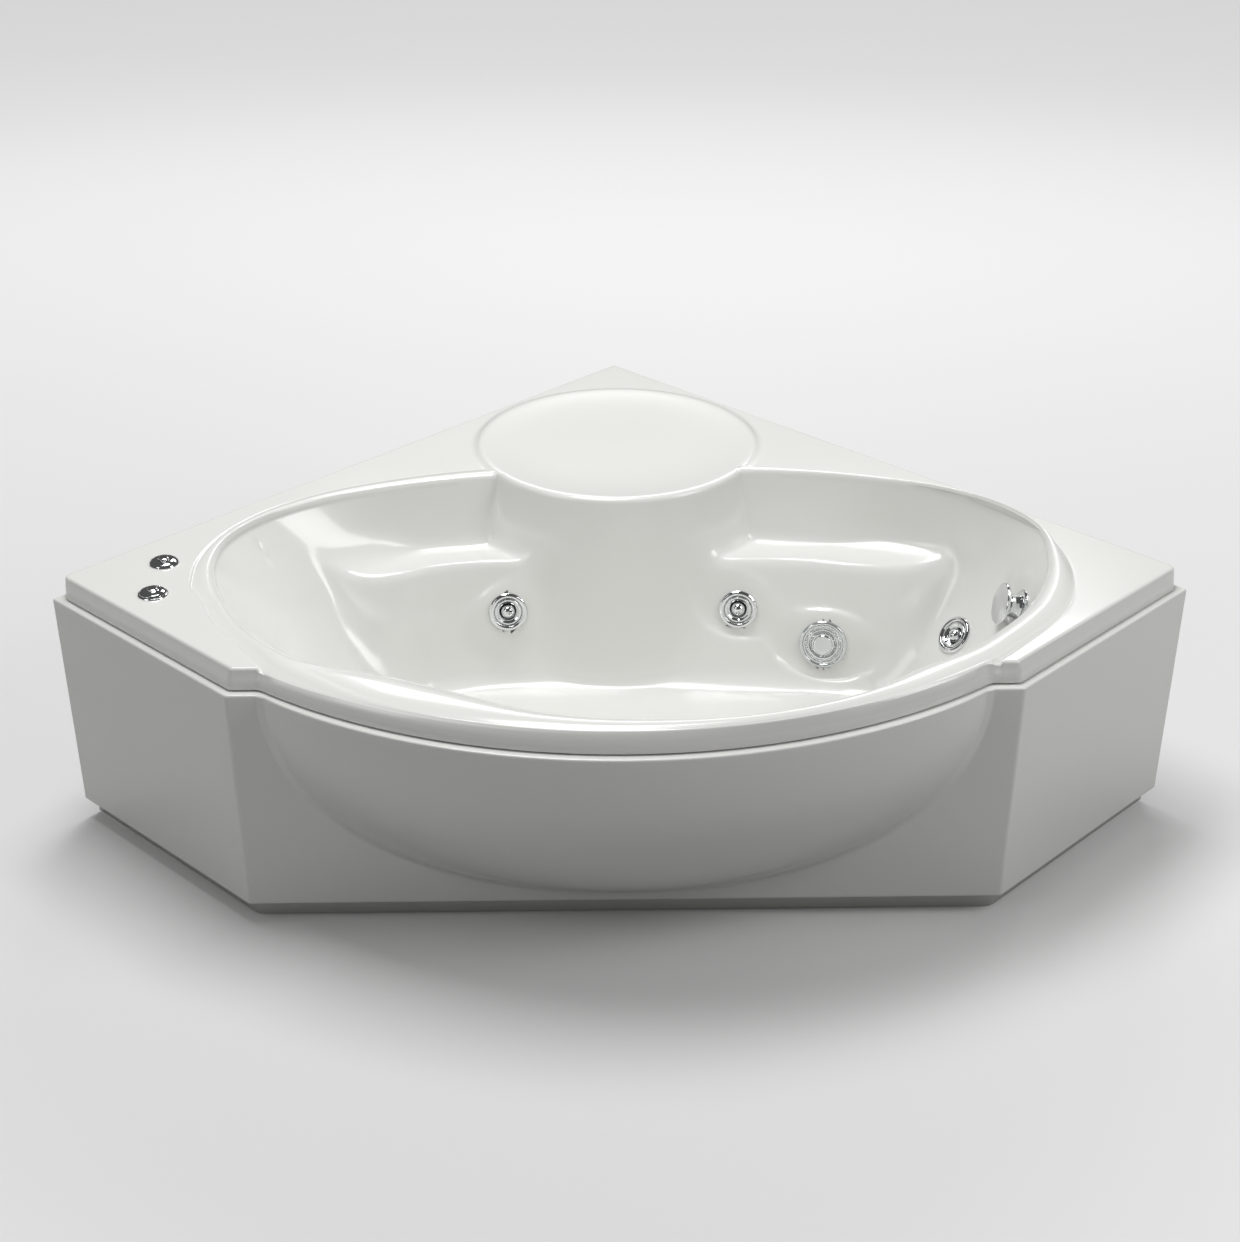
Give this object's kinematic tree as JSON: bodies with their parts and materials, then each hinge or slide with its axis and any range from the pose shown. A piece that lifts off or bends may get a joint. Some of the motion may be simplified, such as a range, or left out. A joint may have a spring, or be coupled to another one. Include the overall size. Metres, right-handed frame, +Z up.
{
  "type": "corner jetted bathtub",
  "caption": "Corner jetted bathtub with an oval basin, corner seat, armrest ledges and a bowed one-piece skirt.",
  "frame": {"origin": "middle of the footprint on the floor", "axes": "+X along the front to the right, +Y towards the corner of the room, +Z up"},
  "size_m": [2.1566, 1.6818, 0.5508],
  "materials": {
    "acrylic": "glossy white acrylic",
    "acrylic_skirt": "glossy white acrylic",
    "chrome": "polished",
    "chrome_ball": "polished",
    "clear_rim": "polished",
    "steel": "bright",
    "galvanised": "galvanised",
    "frame_paint": "satin grey paint",
    "rubber": "matt",
    "white_plastic": "satin",
    "black_plastic": "satin",
    "impeller_plastic": "satin",
    "board": "unfinished",
    "motor_paint": "satin",
    "hose": "satin",
    "clear_tube": "translucent"
  },
  "bodies": {
    "tub": {"air_bezel": "chrome", "air_body": "black_plastic", "air_pipe": "clear_tube", "back_left_post": "frame_paint", "back_right_post": "frame_paint", "button_bezel": "chrome", "button_body": "black_plastic", "button_tube": "clear_tube", "control_nuts": "black_plastic", "floor_board": "board", "foot_nuts": "steel", "foot_pads": "black_plastic", "foot_rods": "steel", "front_left_post": "frame_paint", "front_rail": "frame_paint", "front_right_post": "frame_paint", "jet_body_1": "white_plastic", "jet_body_2": "white_plastic", "jet_body_3": "white_plastic", "jet_flanges": "chrome", "jet_gaskets": "rubber", "left_long_rail": "frame_paint", "middle_rail": "frame_paint", "overflow_body": "white_plastic", "overflow_flange": "chrome", "overflow_pipe": "white_plastic", "pump_motor": "motor_paint", "pump_shelf": "galvanised", "pump_volute": "black_plastic", "right_long_rail": "frame_paint", "skirt_brackets": "galvanised", "skirt_clips": "galvanised", "skirt_panel": "acrylic_skirt", "skirt_screws": "steel", "suction_body": "white_plastic", "suction_cap": "chrome", "suction_grille": "chrome", "suction_pipe": "hose", "suction_rim": "clear_rim", "switch_box": "black_plastic", "tub_shell": "acrylic", "wall_left_post": "frame_paint", "wall_right_post": "frame_paint", "waste_body": "white_plastic", "waste_flange": "chrome", "waste_pipe": "white_plastic", "waste_trap": "white_plastic", "water_manifold": "white_plastic"},
    "jet_cup_1": {"jet_ring_1": "chrome"},
    "jet_eye_1": {"jet_ball_1": "chrome_ball"},
    "jet_cup_2": {"jet_ring_2": "chrome"},
    "jet_eye_2": {"jet_ball_2": "chrome_ball"},
    "jet_cup_3": {"jet_ring_3": "chrome"},
    "jet_eye_3": {"jet_ball_3": "chrome_ball"},
    "start_button": {"push_button": "chrome"},
    "air_control": {"air_knob": "chrome"},
    "waste_control": {"overflow_knob": "chrome"},
    "plug": {"waste_plug": "chrome"},
    "impeller": {"pump_impeller": "impeller_plastic"}
  },
  "joints": [
    {"name": "jet_turn_1", "type": "hinge", "parent": "tub", "child": "jet_cup_1", "pos_m": [-0.23026, 0.06628, 0.29945], "axis": [0.129, -0.9668, 0.2204], "range_deg": [-90, 90]},
    {"name": "jet_tilt_1", "type": "hinge", "parent": "jet_cup_1", "child": "jet_eye_1", "pos_m": [-0.23065, 0.06919, 0.29879], "axis": [0.9912, 0.1322, 0], "range_deg": [-10, 10]},
    {"name": "jet_turn_2", "type": "hinge", "parent": "tub", "child": "jet_cup_2", "pos_m": [0.24496, 0.06851, 0.29945], "axis": [-0.1199, -0.9679, 0.2207], "range_deg": [-90, 90]},
    {"name": "jet_tilt_2", "type": "hinge", "parent": "jet_cup_2", "child": "jet_eye_2", "pos_m": [0.24532, 0.07142, 0.29879], "axis": [0.9924, -0.1229, 0], "range_deg": [-10, 10]},
    {"name": "jet_turn_3", "type": "hinge", "parent": "tub", "child": "jet_cup_3", "pos_m": [0.67609, -0.05078, 0.29847], "axis": [-0.7198, -0.3272, 0.6123], "range_deg": [-90, 90]},
    {"name": "jet_tilt_3", "type": "hinge", "parent": "jet_cup_3", "child": "jet_eye_3", "pos_m": [0.67825, -0.0498, 0.29663], "axis": [0.4138, -0.9104, 0], "range_deg": [-10, 10]},
    {"name": "button_press", "type": "slide", "parent": "tub", "child": "start_button", "axis": [0, 0, -1], "range_m": [0, 0.004], "stiffness_N_per_m": 1200, "springref_m": -0.0015},
    {"name": "air_turn", "type": "hinge", "parent": "tub", "child": "air_control", "pos_m": [-0.875, -0.3, 0.536], "axis": [0, 0, 1], "range_deg": [0, 120]},
    {"name": "knob_turn", "type": "hinge", "parent": "tub", "child": "waste_control", "pos_m": [0.78414, -0.14335, 0.40934], "axis": [-0.9619, -0.0738, 0.2632], "range_deg": [0, 90]},
    {"name": "plug_lift", "type": "slide", "parent": "tub", "child": "plug", "axis": [0, 0, 1], "range_m": [0, 0.012]},
    {"name": "pump_spin", "type": "hinge", "parent": "tub", "child": "impeller", "pos_m": [0.08, 0.411, 0.184], "axis": [1, 0, 0], "continuous": true}
  ],
  "couplings": [
    {"joint": "plug_lift", "follows": "knob_turn", "m_per_rad": 0.0076394}
  ]
}
